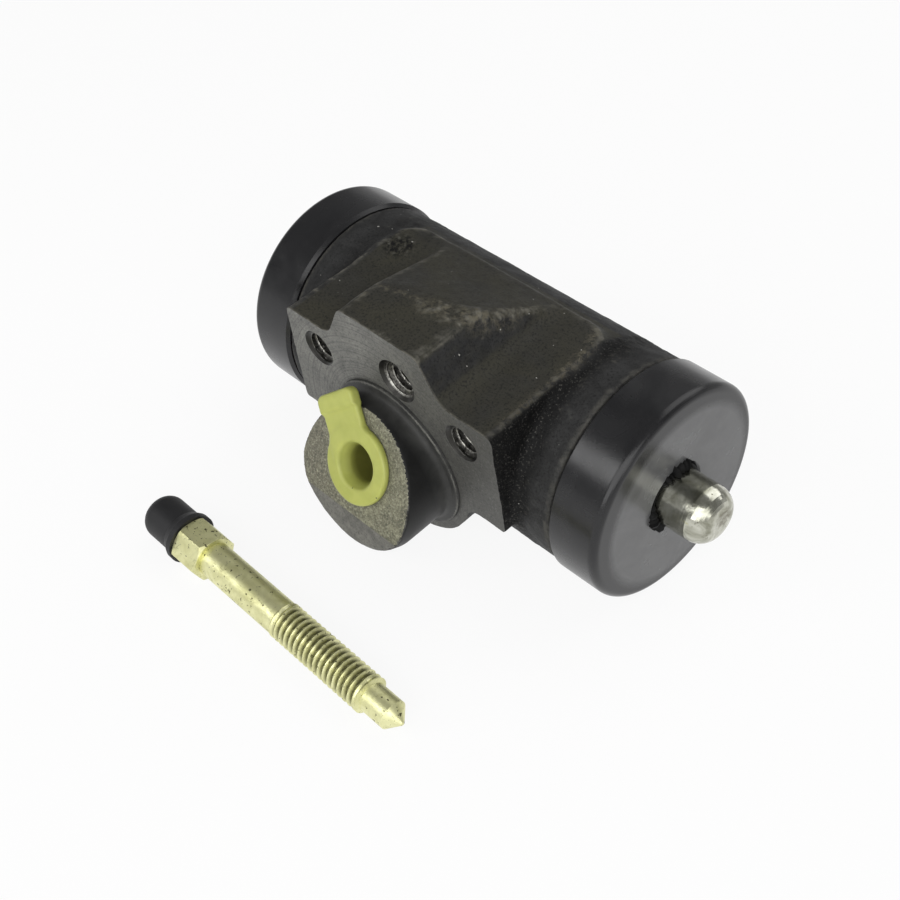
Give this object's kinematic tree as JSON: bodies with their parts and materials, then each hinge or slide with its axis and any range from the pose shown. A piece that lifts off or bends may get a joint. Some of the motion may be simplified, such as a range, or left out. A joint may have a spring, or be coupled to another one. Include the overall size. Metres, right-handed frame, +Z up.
{
  "type": "wheel cylinder",
  "caption": "Hydraulic drum-brake wheel cylinder: cast barrel with mounting pad and plugged inlet boss, rubber-booted push rods at its ends, and a capped bleed screw lying beside it.",
  "frame": {"origin": "middle of the floor under the whole set, cylinder and loose bleed screw together", "axes": "+X along the bore, +Z up, mounting pad and loose bleed screw towards -Y"},
  "size_m": [0.1228, 0.0942, 0.0547],
  "materials": {
    "casting": "dark phosphated casting with machined pad and pilot",
    "boot_rubber": "semi-gloss moulded",
    "cup_rubber": "satin moulded",
    "rod_steel": "bright zinc plate",
    "piston_alloy": "turned",
    "expander_steel": "pressed sheet",
    "spring_steel": "drawn wire",
    "plug_plastic": "soft translucent",
    "screw_plate": "yellow zinc plate",
    "cap_rubber": "matt moulded"
  },
  "bodies": {
    "housing": {"housing": "casting", "boot_left": "boot_rubber", "boot_right": "boot_rubber", "return_spring": "spring_steel", "inlet_plug": "plug_plastic", "bleed_screw": "screw_plate", "bleed_cap": "cap_rubber"},
    "piston_group_right": {"piston_right": "piston_alloy", "push_rod_right": "rod_steel", "piston_cup_right": "cup_rubber", "cup_expander_right": "expander_steel"},
    "piston_group_left": {"piston_left": "piston_alloy", "push_rod_left": "rod_steel", "piston_cup_left": "cup_rubber", "cup_expander_left": "expander_steel"}
  },
  "joints": [
    {"name": "piston_right_slide", "type": "slide", "parent": "housing", "child": "piston_group_right", "axis": [1, 0, 0], "range_m": [-0.003, 0.005], "deforming": ["return_spring"]},
    {"name": "piston_left_slide", "type": "slide", "parent": "housing", "child": "piston_group_left", "axis": [-1, 0, 0], "range_m": [-0.003, 0.005], "deforming": ["return_spring"]}
  ]
}
